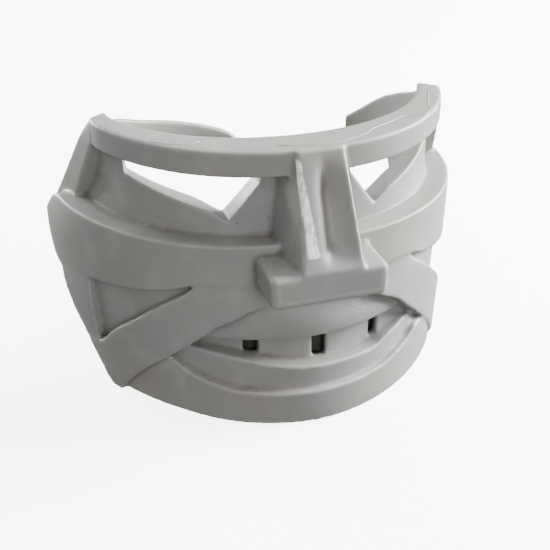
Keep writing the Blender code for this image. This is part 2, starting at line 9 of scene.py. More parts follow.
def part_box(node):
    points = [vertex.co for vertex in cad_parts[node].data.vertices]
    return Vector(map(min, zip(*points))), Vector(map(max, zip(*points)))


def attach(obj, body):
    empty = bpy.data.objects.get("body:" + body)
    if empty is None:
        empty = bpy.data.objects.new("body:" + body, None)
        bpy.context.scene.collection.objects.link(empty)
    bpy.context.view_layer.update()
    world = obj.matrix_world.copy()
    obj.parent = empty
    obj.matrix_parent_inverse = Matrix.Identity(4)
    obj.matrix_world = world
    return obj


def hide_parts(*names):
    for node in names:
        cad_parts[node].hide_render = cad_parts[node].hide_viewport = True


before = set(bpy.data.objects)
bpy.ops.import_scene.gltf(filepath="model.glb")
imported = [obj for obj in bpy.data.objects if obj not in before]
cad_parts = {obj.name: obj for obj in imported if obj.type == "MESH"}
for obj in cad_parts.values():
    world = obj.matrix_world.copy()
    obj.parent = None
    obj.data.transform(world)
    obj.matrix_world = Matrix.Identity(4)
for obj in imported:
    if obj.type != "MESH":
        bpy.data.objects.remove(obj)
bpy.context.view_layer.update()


# One socket of a node tree. Sums and products of wires add Math nodes.
class Wire:
    def __init__(self, tree, socket):
        self.tree = tree
        self.socket = socket

    def maths(self, operation, *values):
        node = addNode(self.tree, "ShaderNodeMath", {"operation": operation}, dict(enumerate(values)))
        return Wire(self.tree, node.outputs[0])

    def __add__(self, other):
        return self.maths("ADD", self, other)

    def __radd__(self, other):
        return self.maths("ADD", other, self)

    def __sub__(self, other):
        return self.maths("SUBTRACT", self, other)

    def __rsub__(self, other):
        return self.maths("SUBTRACT", other, self)

    def __mul__(self, other):
        return self.maths("MULTIPLY", self, other)

    def __rmul__(self, other):
        return self.maths("MULTIPLY", other, self)

    def __truediv__(self, other):
        return self.maths("DIVIDE", self, other)

    def __rtruediv__(self, other):
        return self.maths("DIVIDE", other, self)

    def __pow__(self, other):
        return self.maths("POWER", self, other)

    def __abs__(self):
        return self.maths("ABSOLUTE", self)

    def above(self, limit):
        return self.maths("GREATER_THAN", self, limit)

    def held(self, low=0.0, high=1.0):  # kept between two values
        return self.maths("MINIMUM", self.maths("MAXIMUM", self, low), high)

    def soft(self, start, stop):  # runs from 0 at start to 1 at stop, without corners
        share = ((self - start) / (stop - start)).held()
        return share * share * (3.0 - 2.0 * share)

    def follow(self, points, straight=False):  # reads a curve through (position, value) points
        name = "straight curve" if straight else "curve"
        node = addNode(self.tree, "ShaderNodeFloatCurve", {name: points}, {"Value": self})
        return Wire(self.tree, node.outputs[0])

    def parts(self):
        node = addNode(self.tree, "ShaderNodeSeparateXYZ", {}, {0: self})
        return [Wire(self.tree, socket) for socket in node.outputs]


def addNode(tree, kind, settings=None, sockets=None):
    node = tree.nodes.new(kind)
    for name, value in (settings or {}).items():
        if name in ("curve", "straight curve"):
            curve = node.mapping.curves[0]
            node.mapping.use_clip = False
            while len(curve.points) < len(value):
                curve.points.new(0.5, 0.5)
            for point, (position, height) in zip(curve.points, sorted(value)):
                point.location = (position, height)
                point.handle_type = "AUTO_CLAMPED" if name == "curve" else "VECTOR"
            node.mapping.update()
        else:
            setattr(node, name, value)
    for name, value in (sockets or {}).items():
        if isinstance(value, Wire):
            tree.links.new(value.socket, node.inputs[name])
        else:
            node.inputs[name].default_value = value
    return node


def wireFrom(tree, kind, settings=None, sockets=None, output=0):
    return Wire(tree, addNode(tree, kind, settings, sockets).outputs[output])


def vectorFrom(tree, x, y, z):
    return wireFrom(tree, "ShaderNodeCombineXYZ", {}, {"X": x, "Y": y, "Z": z})


def mixVector(tree, share, first, second):
    return wireFrom(tree, "ShaderNodeMix", {"data_type": "VECTOR"}, {0: share, 4: first, 5: second}, 1)


# Sizes in metres. Angles run round the head from the middle of the face, in degrees, and are below zero on
# the wearer's right
maskSizes = {
    "height": 0.1113,
    "cheekHeight": 0.0752,      # flat top of the cheek band
    "browBar": 0.0097,
    "browSpare": 0.0022,        # height that is cut off again at the top
    "browRoot": 0.0004,
    "halfWidth": 0.0840,
    "frontReach": 0.0848,
    "backReach": 0.0617,
    "armWall": 0.0036,
    "backSquareness": 2.3,
    "sideFrom": 50.0,           # angle from which the two sides differ
    "narrowSideFrom": 64.0,     # the same, where a side is pulled in
    "sideTo": 88.0,
    "browRightEnd": 71.5,
    "browLeftEnd": 68.5,
    "root": 0.0026,             # how far a raised piece is sunk into the shell
    "columnAngle": 1.3,         # degrees between the columns of points of a band
    "voxel": 0.00056,
    "softening": 14,            # rounds of smoothing, which round every edge and crease
    "triangles": 190000,
    "topShare": 0.9972,         # height of the skin as a share of the solid's
    "boxGap": 0.00004,          # what the skin is narrower than the solid's box
}

# The ring at each height: half widths as shares of halfWidth, reaches as shares of frontReach
ringLevels = {
    "height": (0.0, 0.230, 0.358, 0.534, 0.676, 0.913, 1.0),
    "bandHalf": (0.985, 0.995, 1.000, 1.000, 1.000, 0.915, 0.910),
    "bandReach": (1.090, 1.088, 1.070, 1.020, 1.000, 1.005, 1.005),
    "baseHalf": (0.880, 0.895, 0.905, 0.910, 0.880, 0.868, 0.865),
    "baseReach": (0.985, 0.970, 0.958, 0.925, 0.900, 0.900, 0.900),
    "innerHalf": (0.815, 0.825, 0.832, 0.840, 0.842, 0.830, 0.825),
    "innerReach": (0.880, 0.870, 0.855, 0.795, 0.762, 0.800, 0.820),
    "rightSide": (1.000, 1.015, 1.030, 1.042, 1.010, 0.885, 0.880),
    "leftSide": (1.000, 0.990, 0.985, 0.985, 0.985, 0.925, 0.910),
    "squareness": (1.85, 1.88, 1.95, 2.10, 2.15, 2.15, 2.15),
}


def finishMesh(item):
    # the evaluated shape as a plain mesh, with its modifiers gone
    bpy.context.view_layer.update()
    mesh = bpy.data.meshes.new_from_object(item.evaluated_get(bpy.context.evaluated_depsgraph_get()))
    item.modifiers.clear()
    item.data = mesh
    return item


def newObject(name, mesh=None):
    item = bpy.data.objects.new(name, mesh or bpy.data.meshes.new(name))
    bpy.context.scene.collection.objects.link(item)
    return item


def closedMesh(name, build):
    shape = bmesh.new()
    build(shape)
    bmesh.ops.triangulate(shape, faces=shape.faces)
    bmesh.ops.recalc_face_normals(shape, faces=shape.faces)
    mesh = bpy.data.meshes.new(name)
    shape.to_mesh(mesh)
    shape.free()
    return newObject(name, mesh)


def fromNodes(name, tree, values):
    item = newObject(name)
    modifier = item.modifiers.new(name, "NODES")
    modifier.node_group = tree
    for socket in tree.interface.items_tree:
        if socket.in_out == "INPUT" and socket.name in values:
            modifier[socket.identifier] = values[socket.name]
    return finishMesh(item)


def newTree(name, inputs):
    tree = bpy.data.node_groups.new(name, "GeometryNodeTree")
    for label, kind in inputs:
        tree.interface.new_socket(label, in_out="INPUT", socket_type="NodeSocket" + kind)
    tree.interface.new_socket("Geometry", in_out="OUTPUT", socket_type="NodeSocketGeometry")
    start = addNode(tree, "NodeGroupInput")
    return tree, {label: Wire(tree, start.outputs[label]) for label, kind in inputs}


def endTree(tree, geometry, material):
    real = wireFrom(tree, "GeometryNodeRealizeInstances", {}, {"Geometry": geometry})
    painted = wireFrom(tree, "GeometryNodeSetMaterial", {}, {"Geometry": real, "Material": material})
    addNode(tree, "NodeGroupOutput", {}, {"Geometry": painted})


def levelColumn(level, column):
    return level.follow(list(zip(ringLevels["height"], ringLevels[column])))


# A point of the ring: angle and height give the place, depth 0 is the front surface, depth 1 the back
def ringPlace(given, angle, height, depth, inset, surfaces):
    sizes = maskSizes
    level = height / given["Mask Height"]
    back = abs(angle).above(90.0)
    turn = angle * (math.pi / 180.0)
    across = turn.maths("SINE", turn)
    spread = [levelColumn(level, surface + "Half") for surface in surfaces]
    reach = [levelColumn(level, surface + "Reach") for surface in surfaces]
    right = (0.0 - angle).above(0.0)
    side = levelColumn(level, "rightSide") * right + levelColumn(level, "leftSide") * (1.0 - right)
    later = sizes["narrowSideFrom"] - sizes["sideFrom"]
    start = sizes["sideFrom"] + later * ((1.0 - side) * 16.0).held()
    blend = ((abs(angle) - start) / (sizes["sideTo"] - start)).held()
    side = 1.0 + (side - 1.0) * blend * blend * (3.0 - 2.0 * blend)
    half = (spread[0] + (spread[1] - spread[0]) * depth) * given["Half Width"] * side
    wall = given["Arm Wall"] * (1.0 - depth) if surfaces[1] == "inner" else given["Arm Wall"]
    front = (reach[0] + (reach[1] - reach[0]) * depth) * given["Front Reach"]
    reach = front * (1.0 - back) + (given["Back Reach"] + wall) * back
    power = levelColumn(level, "squareness") * (1.0 - back) + sizes["backSquareness"] * back
    size = abs(across).held(0.0001, 1.0)
    share = (1.0 - size ** power).held(0.000001, 1.0) ** (1.0 / power)
    sign = across.maths("SIGN", across)
    facing = back * 2.0 - 1.0
    normalX = sign * size ** (power - 1.0) / half
    normalY = facing * share ** (power - 1.0) / reach
    length = (normalX * normalX + normalY * normalY) ** 0.5
    x = half * across - inset * normalX / length
    y = facing * reach * share - inset * normalY / length
    return vectorFrom(level.tree, x, y, height)


bandInputs = (("Columns", "Int"), ("Rows", "Int"), ("First Angle", "Float"), ("Last Angle", "Float"),
              ("Lean", "Float"), ("Root", "Float"), ("Half Width", "Float"), ("Front Reach", "Float"),
              ("Back Reach", "Float"), ("Arm Wall", "Float"), ("Cheek Height", "Float"),
              ("Mask Height", "Float"), ("Material", "Material"))


def bandValues(columns, rows, first, last, lean=0.0, root=0.0):
    return {
        "Columns": columns, "Rows": rows, "First Angle": first, "Last Angle": last, "Lean": lean,
        "Root": root, "Half Width": maskSizes["halfWidth"], "Front Reach": maskSizes["frontReach"],
        "Back Reach": maskSizes["backReach"], "Arm Wall": maskSizes["armWall"],
        "Cheek Height": maskSizes["cheekHeight"], "Mask Height": maskSizes["height"],
        "Material": castPlastic}


def slabGrid(tree, given):
    # a box of points, and how far each is along it, into it and up it
    grid = wireFrom(tree, "GeometryNodeMeshCube", {},
                    {"Vertices X": given["Columns"], "Vertices Z": given["Rows"]})
    place = wireFrom(tree, "GeometryNodeInputPosition")
    return grid, [part + 0.5 for part in place.parts()]


def overAngles(angle, rows, widest):
    # reads a curve through (angle, value) rows
    points = [((row[0] + widest) / (2.0 * widest), row[1]) for row in rows]
    return ((angle + widest) / (2.0 * widest)).follow(points)


# A curved slab round the head: a box of points bent onto the ring between two edges
def bandPiece(name, lower, upper, first, last, face, rows=14, lean=0.0, root=None,
              surfaces=("band", "base")):
    tree, given = newTree(name + "Rule", bandInputs)
    grid, (u, depth, v) = slabGrid(tree, given)
    foot = given["First Angle"] + (given["Last Angle"] - given["First Angle"]) * u
    angle = foot + given["Lean"] * v
    low = overAngles(foot, lower, 200.0)
    high = overAngles(foot + given["Lean"], upper, 200.0)
    height = given["Cheek Height"] * (low + (high - low) * v)
    inset = face(u, v, angle) * (1.0 - depth) + given["Root"] * depth
    place = ringPlace(given, angle, height, depth, inset, surfaces)
    moved = wireFrom(tree, "GeometryNodeSetPosition", {}, {"Geometry": grid, "Position": place})
    endTree(tree, moved, given["Material"])
    columns = max(12, int((last - first) / maskSizes["columnAngle"]))
    sunk = maskSizes["root"] if root is None else root
    return fromNodes(name, tree, bandValues(columns, rows, first, last, lean, sunk))


# Edges of the raised bands: angle, lower edge, upper edge, as shares of cheekHeight. The first three are the
# same on both sides
bandEdges = {
    "cheek": ((0, 0.79, 1.0), (28, 0.79, 1.0), (31.1, 0.779, 1.0), (37.1, 0.740, 1.0), (45.7, 0.701, 1.0),
              (55.7, 0.666, 1.0), (65.5, 0.637, 1.0), (75.8, 0.597, 1.0), (80, 0.590, 1.0),
              (84, 0.588, 0.985), (88, 0.600, 0.920), (92, 0.660, 0.840), (98, 0.720, 0.800),
              (106, 0.745, 0.770)),
    "jaw": ((0, 0.70, 0.88), (14.7, 0.667, 0.85), (20.3, 0.614, 0.82), (26, 0.557, 0.80),
            (30.9, 0.474, 0.770), (34, 0.425, 0.725), (39.3, 0.335, 0.660), (45.5, 0.235, 0.567),
            (51, 0.125, 0.475), (55.5, 0.02, 0.405), (58, -0.05, 0.355), (62.5, -0.06, 0.265),
            (70, -0.06, 0.20)),
    "upperLip": ((0, 0.473, 0.70), (5.8, 0.473, 0.69), (14, 0.470, 0.655), (21, 0.464, 0.592),
                 (26, 0.455, 0.548), (31.5, 0.442, 0.500)),
    "chin": ((-60, -0.08, 0.15), (-54, -0.08, 0.24), (-47, -0.08, 0.330), (-41.4, -0.08, 0.325),
             (-36.4, -0.08, 0.285), (-31, -0.08, 0.240), (-25, -0.08, 0.215), (-19, -0.08, 0.195),
             (0, -0.08, 0.190), (19, -0.08, 0.195), (27.2, -0.08, 0.224), (34.4, -0.08, 0.262),
             (38.5, -0.08, 0.298), (42, -0.08, 0.292), (45.6, -0.08, 0.227), (49.5, -0.08, 0.143),
             (52.4, -0.08, 0.070), (56, -0.08, -0.02)),
    "lowerLip": ((-41, 0.27, 0.36), (-37.5, 0.25, 0.385), (-34.1, 0.21, 0.396), (-29.1, 0.16, 0.391),
                 (-23.2, 0.13, 0.380), (-12.3, 0.12, 0.340), (-2.9, 0.12, 0.317), (5.6, 0.12, 0.311),
                 (18.8, 0.13, 0.305), (23.8, 0.14, 0.328), (29.5, 0.17, 0.353), (34.3, 0.20, 0.368),
                 (37.2, 0.21, 0.368), (40.4, 0.225, 0.325), (42.6, 0.235, 0.265)),
    "mouthCorner": ((24.6, 0.25, 0.50), (32, 0.25, 0.48), (44, 0.25, 0.40)),
}

# How far the front faces of the bands stand behind the ring, and where round the head that changes
bandFaces = {
    "cheekSink": 0.0074,        # at the far ends of the cheek band
    "cheekSinkAngles": (92.0, 106.0),
    "jawProud": 0.0012,
    "jawSink": 0.0004,
    "jawAngles": (30.0, 52.0),
    "leftJawFoot": 0.045,       # share of cheekHeight that the jaw's corner stays above the rim
    "chinSetBack": 0.0016,
    "chinAngles": (20.0, 42.0),
    "lipSetBack": 0.0032,
    "lipSideways": 0.0016,      # how much the upper lip falls back to its ends
    "lipUpright": 0.0014,       # and to its upper and lower edge
    "lipCrest": 0.45,
    "cornerSetBack": 0.0084,
    "cornerRise": 0.0034,
    "postSetBack": 0.0032,
    "postProud": 0.0006,
    "postRightSink": 0.0003,
    "postAngles": (63.3, 88.0),
    "postEdges": (0.12, 0.70),  # shares of cheekHeight
    "postLean": 2.2,
    "floorSetBack": 0.0032,
    "floorAngles": (20.0, 60.0, 67.0),
    "floorEdges": (0.06, 0.12, 0.85),
}


def bothSides(rows, column):
    mirrored = [(-row[0], row[column]) for row in reversed(rows) if row[0] > 0]
    return mirrored + [(row[0], row[column]) for row in rows]


def levelEdge(share):
    return ((-200.0, share), (200.0, share))


def symmetricBand(name, face, rows=14, leftFoot=-1.0):
    edges = bandEdges[name]
    lower = [(angle, max(edge, leftFoot) if angle > 0 else edge) for angle, edge in bothSides(edges, 1)]
    return bandPiece(name + "Band", lower, bothSides(edges, 2), -edges[-1][0], edges[-1][0], face, rows)


def tableBand(name, edges, face, rows=12):
    lower, upper = [(row[0], row[1]) for row in edges], [(row[0], row[2]) for row in edges]
    return bandPiece(name, lower, upper, edges[0][0], edges[-1][0], face, rows)


def chinInset(angle):
    return bandFaces["chinSetBack"] * (0.0 - angle).soft(*bandFaces["chinAngles"])


def jawInset(angle):
    proud = bandFaces["jawProud"] + bandFaces["jawSink"]
    return bandFaces["jawSink"] - proud * abs(angle).soft(*bandFaces["jawAngles"])


def cheekInset(angle):
    start, stop = bandFaces["cheekSinkAngles"]
    return bandFaces["cheekSink"] * ((abs(angle) - start) / (stop - start)).held() ** 1.5


def upperLipInset(v, angle):
    aside, aloft = angle / 30.0, 2.0 * v - 2.0 * bandFaces["lipCrest"]
    inset = bandFaces["lipSetBack"] + bandFaces["lipSideways"] * aside * aside
    return inset + bandFaces["lipUpright"] * aloft * aloft


def mouthCornerInset(u):
    return bandFaces["cornerSetBack"] - bandFaces["cornerRise"] * u.soft(0.0, 0.8)


# The hollow between cheek band, jaw band and jaw post is shallower than the rest of the shell
def cheekFloor(side):
    start, stop, end = bandFaces["floorAngles"]
    lowest, endFoot, top = bandFaces["floorEdges"]
    rows = [(side * angle, max(lowest, 0.5 * (low + high)), top) for angle, low, high in bandEdges["jaw"]
            if start < angle < stop]
    rows.append((side * end, endFoot, top))
    return tableBand("cheekFloor", sorted(rows), lambda u, v, angle: bandFaces["floorSetBack"])


def bandParts():
    made = [
        symmetricBand("cheek", lambda u, v, angle: cheekInset(angle)),
        symmetricBand("jaw", lambda u, v, angle: jawInset(angle), leftFoot=bandFaces["leftJawFoot"]),
        tableBand("chinBand", bandEdges["chin"], lambda u, v, angle: chinInset(angle)),
        symmetricBand("upperLip", lambda u, v, angle: upperLipInset(v, angle), 12),
        tableBand("lowerLip", bandEdges["lowerLip"],
                  lambda u, v, angle: chinInset(angle) + bandFaces["lipSetBack"]),
        tableBand("mouthCorner", bandEdges["mouthCorner"], lambda u, v, angle: mouthCornerInset(u)),
        browBar(),
    ]
    for side in (-1.0, 1.0):
        made += [sidePost(side), jawPost(side), cheekFloor(side)]
    return made


def browBar():
    low = (maskSizes["height"] - maskSizes["browBar"]) / maskSizes["cheekHeight"]
    high = (maskSizes["height"] + maskSizes["browSpare"]) / maskSizes["cheekHeight"]
    return bandPiece("browBar", levelEdge(low), levelEdge(high), -maskSizes["browRightEnd"],
                     maskSizes["browLeftEnd"], lambda u, v, angle: 0.0, 10, root=maskSizes["browRoot"],
                     surfaces=("band", "inner"))


def jawPost(side):
    # the raised edge from the jaw's corner up to the cheek band
    def face(u, v, angle):
        if side > 0:
            proud = bandFaces["postSetBack"] + bandFaces["postProud"]
            return bandFaces["postSetBack"] - proud * (1.0 - v.soft(0.0, 0.45))
        return bandFaces["postRightSink"] - bandFaces["jawProud"] * (1.0 - v.soft(0.6, 1.0))

    first, last = sorted(side * angle for angle in bandFaces["postAngles"])
    low, high = bandFaces["postEdges"]
    return bandPiece("jawPost", levelEdge(low), levelEdge(high), first, last, face, 18,
                     lean=bandFaces["postLean"] * side)


# Upper edge of the shell from ear to ear, as shares of the mask's height
shellTop = ((-191, 0.505), (-186, 0.565), (-182, 0.588), (-166, 0.643), (-151, 0.679), (-138, 0.718),
            (-122, 0.750), (-110, 0.785), (-97, 0.845), (-86, 0.900), (-76, 0.935), (-71, 0.9564),
            (68, 0.9564), (69, 0.962), (73, 0.947), (79, 0.922), (86, 0.892), (92, 0.857), (97, 0.831),
            (106, 0.777), (115, 0.716), (122, 0.668))


def shellPiece():
    upper = [(row[0], row[1] * maskSizes["height"] / maskSizes["cheekHeight"]) for row in shellTop]
    return bandPiece("shell", levelEdge(-0.04), upper, shellTop[0][0], shellTop[-1][0],
                     lambda u, v, angle: 0.0, 40, root=0.0, surfaces=("base", "inner"))


# The post at each share of the way from the cheek band to the top: how far out and forward its front and
# rear edges stand, and the angles of their roots
postEdges = {
    "up": (-0.230, 0.731, 0.972),
    "frontOut": (0.940, 0.848, 0.840),
    "frontForward": (0.149, 0.400, 0.391),
    "frontRoot": (80.8, 65.4, 65.8),
    "rearOut": (0.995, 0.883, 0.840),
    "rearForward": (-0.040, 0.262, 0.350),
    "rearRoot": (92.3, 76.5, 71.5),
}
postSizes = {
    "face": 0.84,               # share of the columns that the post's face has, the rest runs into the arm
    "tail": 7.0,                # degrees
    "leftOut": 0.0022,
    "leftIn": 0.0016,
    "leftHead": 0.0062,         # below the mask's top
    "rightHead": 0.0011,
    "footSink": 0.0015,
    "rearFootSink": 0.0045,
    "armInset": 0.0004,
    "depth": 0.0026,
}


# From the brow's end down to the cheek band, leaning outwards. Behind its rear edge it runs out into the arm
def sidePost(side):
    sizes = postSizes
    tree, given = newTree("sidePostRule", bandInputs)
    grid, (u, depth, v) = slabGrid(tree, given)
    across = (u / sizes["face"]).held()
    tail = ((u - sizes["face"]) / (1.0 - sizes["face"])).held()
    rise = given["Mask Height"] - given["Cheek Height"]

    def edgeAt(column, level):
        points = [(up + 0.25, value) for up, value in zip(postEdges["up"], postEdges[column])]
        return ((level - given["Cheek Height"]) / rise + 0.25).follow(points, straight=True)

    def rootAt(level):
        front = edgeAt("frontRoot", level)
        return front + (edgeAt("rearRoot", level) - front) * across + tail * sizes["tail"]

    def atRoot(level, rows):
        return (rootAt(level) / 200.0).follow([(angle / 200.0, edge) for angle, edge in rows], straight=True)

    cheekTop = [(angle, edge) for angle, edge in bothSides(bandEdges["cheek"], 2) if angle >= 0]
    armTop = [(side * angle, edge) for angle, edge in shellTop if side * angle > 60.0]
    foot = atRoot(given["Cheek Height"], cheekTop) * given["Cheek Height"] - sizes["footSink"]
    foot = foot - across * (1.0 - tail) * sizes["rearFootSink"]
    faceHead = given["Mask Height"] - sizes["rightHead" if side < 0.0 else "leftHead"]
    tailHead = atRoot(faceHead, armTop) * given["Mask Height"] - sizes["armInset"]
    head = faceHead + (tailHead - faceHead) * tail.above(0.0)
    height = foot + (head - foot) * v
    root = rootAt(height)
    beyond = (sizes["leftOut"] * (1.0 - across) - sizes["leftIn"] * across) if side > 0.0 else 0.0
    out = edgeAt("frontOut", height)
    out = out + (edgeAt("rearOut", height) - out) * across
    forward = edgeAt("frontForward", height)
    forward = forward + (edgeAt("rearForward", height) - forward) * across
    face = vectorFrom(tree, (out * given["Half Width"] + beyond) * side,
                      forward * given["Front Reach"] * -1.0, height)
    arm = ringPlace(given, root * side, height, 0.0, sizes["armInset"], ("base", "inner"))
    back = ringPlace(given, root * side, height, 0.0, sizes["depth"], ("base", "inner"))
    place = mixVector(tree, depth, mixVector(tree, tail, face, arm), back)
    moved = wireFrom(tree, "GeometryNodeSetPosition", {}, {"Geometry": grid, "Position": place})
    endTree(tree, moved, given["Material"])
    return fromNodes("sidePost", tree, bandValues(24, 24, 0.0, 0.0))


def ringFront(surface, height):
    levels = ringLevels["height"]
    reach = np.interp(height / maskSizes["height"], levels, ringLevels[surface + "Reach"])
    return -float(reach) * maskSizes["frontReach"]


def prism(name, layers):
    # a solid between two equal outlines
    def build(shape):
        rings = [[shape.verts.new(point) for point in layer] for layer in layers]
        shape.faces.new(rings[0])
        shape.faces.new(list(reversed(rings[1])))
        for k in range(len(rings[0])):
            n = (k + 1) % len(rings[0])
            shape.faces.new((rings[0][k], rings[1][k], rings[1][n], rings[0][n]))
    return closedMesh(name, build)


# The eye openings, each wider at its outer end towards the front. Outlines as shares of halfWidth and of the
# way from the cheek band to the brow bar, depths as shares of frontReach
eyeSizes = {
    "outline": ((0.338, 0.215), (0.755, 0.700), (0.755, 1.250), (0.195, 1.250), (0.205, 0.800)),
    "outerFrom": 0.5,
    "front": -1.12,
    "back": -0.10,
    "flare": 0.30,
    "flareFrom": -0.62,
}


def eyeCutter(side):
    cheek, half, reach = maskSizes["cheekHeight"], maskSizes["halfWidth"], maskSizes["frontReach"]
    rise = maskSizes["height"] - maskSizes["browBar"] - cheek
    layers = []
    for depth in (eyeSizes["front"] * reach, eyeSizes["back"] * reach):
        spread = eyeSizes["flare"] * (eyeSizes["flareFrom"] * reach - depth)
        layer = []
        for x, z in eyeSizes["outline"]:
            beyond = spread if x > eyeSizes["outerFrom"] else 0.0
            layer.append((side * (x * half + beyond), depth, cheek + z * rise))
        layers.append(layer)
    return prism("eyeCutter", layers)


# Side view of what is open behind the jaw and below the arms, as shares of backReach and cheekHeight
rearCut = ((-0.92, -0.30), (-0.70, 0.0), (-0.65, 0.04), (-0.59, 0.117), (-0.48, 0.223), (-0.32, 0.363),
           (-0.27, 0.48), (-0.24, 0.575), (-0.10, 0.60), (0.04, 0.68), (0.15, 0.83), (0.55, 0.85),
           (0.86, 0.815), (0.97, 0.78), (1.01, 0.70), (1.35, 0.60), (1.35, -0.30))


def rearCutter():
    cheek, reach, half = maskSizes["cheekHeight"], maskSizes["backReach"], 1.3 * maskSizes["halfWidth"]
    return prism("rearCutter", [[(x, y * reach, z * cheek) for y, z in rearCut] for x in (-half, half)])


def blockSolid(name, low, high, bevel=0.0):
    def build(shape):
        bmesh.ops.create_cube(shape, size=1.0)
        bmesh.ops.scale(shape, vec=Vector(high) - Vector(low), verts=shape.verts)
        bmesh.ops.translate(shape, vec=(Vector(high) + Vector(low)) / 2, verts=shape.verts)
        if bevel > 0.0:
            bmesh.ops.bevel(shape, geom=shape.edges[:], offset=bevel, segments=4, profile=0.5,
                            affect="EDGES")
    return closedMesh(name, build)


mouthSizes = {
    "gaps": 3,
    "gapWidth": 0.0054,
    "gapPitch": 0.0260,
    "gapShift": 0.0036,
    "gapHeight": 0.0120,
    "gapFloor": 0.30,           # share of cheekHeight
    "gapDepth": 0.0048,
    "shadeOver": 0.45,           # share of the depth over which a gap turns dark
}


# The gaps between the teeth: one box repeated along a line, each sunk equally far into the shell
def toothGaps():
    tree, given = newTree("toothGapRule", bandInputs + (
        ("Count", "Int"), ("Pitch", "Float"), ("Gap Width", "Float"), ("Gap Height", "Float"),
        ("Gap Depth", "Float"), ("Gap Shift", "Float"), ("Gap Middle", "Float")))
    step = vectorFrom(tree, given["Pitch"], 0.0, 0.0)
    begin = vectorFrom(tree, given["Pitch"] * (given["Count"] - 1.0) * -0.5 + given["Gap Shift"], 0.0, 0.0)
    row = wireFrom(tree, "GeometryNodeMeshLine", {},
                   {"Count": given["Count"], "Start Location": begin, "Offset": step})
    x = wireFrom(tree, "GeometryNodeInputPosition").parts()[0]
    level = given["Gap Middle"] / given["Mask Height"]
    share = x / (levelColumn(level, "baseHalf") * given["Half Width"])
    angle = share.maths("ARCSINE", share) * (180.0 / math.pi)
    y = ringPlace(given, angle, given["Gap Middle"], 0.0, 0.0, ("base", "inner")).parts()[1]
    reach = given["Front Reach"] * 0.5
    spot = vectorFrom(tree, x, y + given["Gap Depth"] - reach * 0.5, given["Gap Middle"])
    row = wireFrom(tree, "GeometryNodeSetPosition", {}, {"Geometry": row, "Position": spot})
    size = vectorFrom(tree, given["Gap Width"], reach, given["Gap Height"])
    gap = wireFrom(tree, "GeometryNodeMeshCube", {}, {"Size": size})
    placed = wireFrom(tree, "GeometryNodeInstanceOnPoints", {}, {"Points": row, "Instance": gap})
    endTree(tree, placed, given["Material"])
    middle = mouthSizes["gapFloor"] * maskSizes["cheekHeight"] + 0.5 * mouthSizes["gapHeight"]
    values = bandValues(2, 2, 0.0, 0.0)
    values.update({"Count": mouthSizes["gaps"], "Pitch": mouthSizes["gapPitch"],
                   "Gap Width": mouthSizes["gapWidth"], "Gap Height": mouthSizes["gapHeight"],
                   "Gap Depth": mouthSizes["gapDepth"], "Gap Shift": mouthSizes["gapShift"],
                   "Gap Middle": middle})
    return fromNodes("toothGaps", tree, values)


def readPoints(mesh, field="co"):
    values = np.empty(len(mesh.vertices) * 3)
    mesh.vertices.foreach_get(field, values)
    return values.reshape(-1, 3)


def writeAttribute(mesh, name, values):
    attribute = mesh.attributes.new(name, "FLOAT", "POINT")
    attribute.data.foreach_set("value", values.astype(np.float32))


# Marks how deep each point of the skin lies in the gaps between the teeth, which the plastic paints
# near-black as painted shade
def markGapShade(item, gaps):
    places = readPoints(item.data)
    depth = mouthSizes["gapDepth"]
    values = np.zeros(len(places))
    for box in readPoints(gaps.data).reshape(-1, 8, 3):
        low, high = box.min(0) - maskSizes["voxel"], box.max(0) + maskSizes["voxel"]
        inside = ((places > low) & (places < high)).all(1)
        sunk = (places[:, 1] - box.max(0)[1] + depth) / (mouthSizes["shadeOver"] * depth)
        values = np.maximum(values, inside * np.clip(sunk, 0.0, 1.0))
    writeAttribute(item.data, "hollow", values)


noseSizes = {
    "topHalf": 0.0086,
    "tipHalf": 0.0115,
    "footFlare": 0.0034,
    "footSink": 0.0022,
    "rootProud": 0.0012,
    "shift": 0.0010,
    "flute": 0.0052,
    "fluteFoot": 5.5,           # how soon the flute gets its depth from the block up
    "fluteHead": 2.4,           # and from the brow down
    "blockWidth": 0.0440,
    "blockHeight": 0.0126,
    "blockReach": 0.0185,
    "blockDrop": 0.0034,
    "blockBreak": 0.0021,
    "columns": 65,
    "rows": 52,
    # front of the nose from the wearer's right to the left: share of its width, share of the flute's depth.
    # The right ridge is broad and rounded, the left one narrow and sharp
    "profile": ((0.0, 0.14), (0.06, 0.03), (0.14, 0.0), (0.24, 0.03), (0.33, 0.12), (0.40, 0.34),
                (0.45, 0.66), (0.51, 0.94), (0.58, 1.0), (0.68, 0.84), (0.78, 0.60), (0.87, 0.32),
                (0.925, 0.05), (0.95, 0.0), (1.0, 0.0)),
}


def softStep(value):
    share = min(1.0, max(0.0, value))
    return share * share * (3.0 - 2.0 * share)


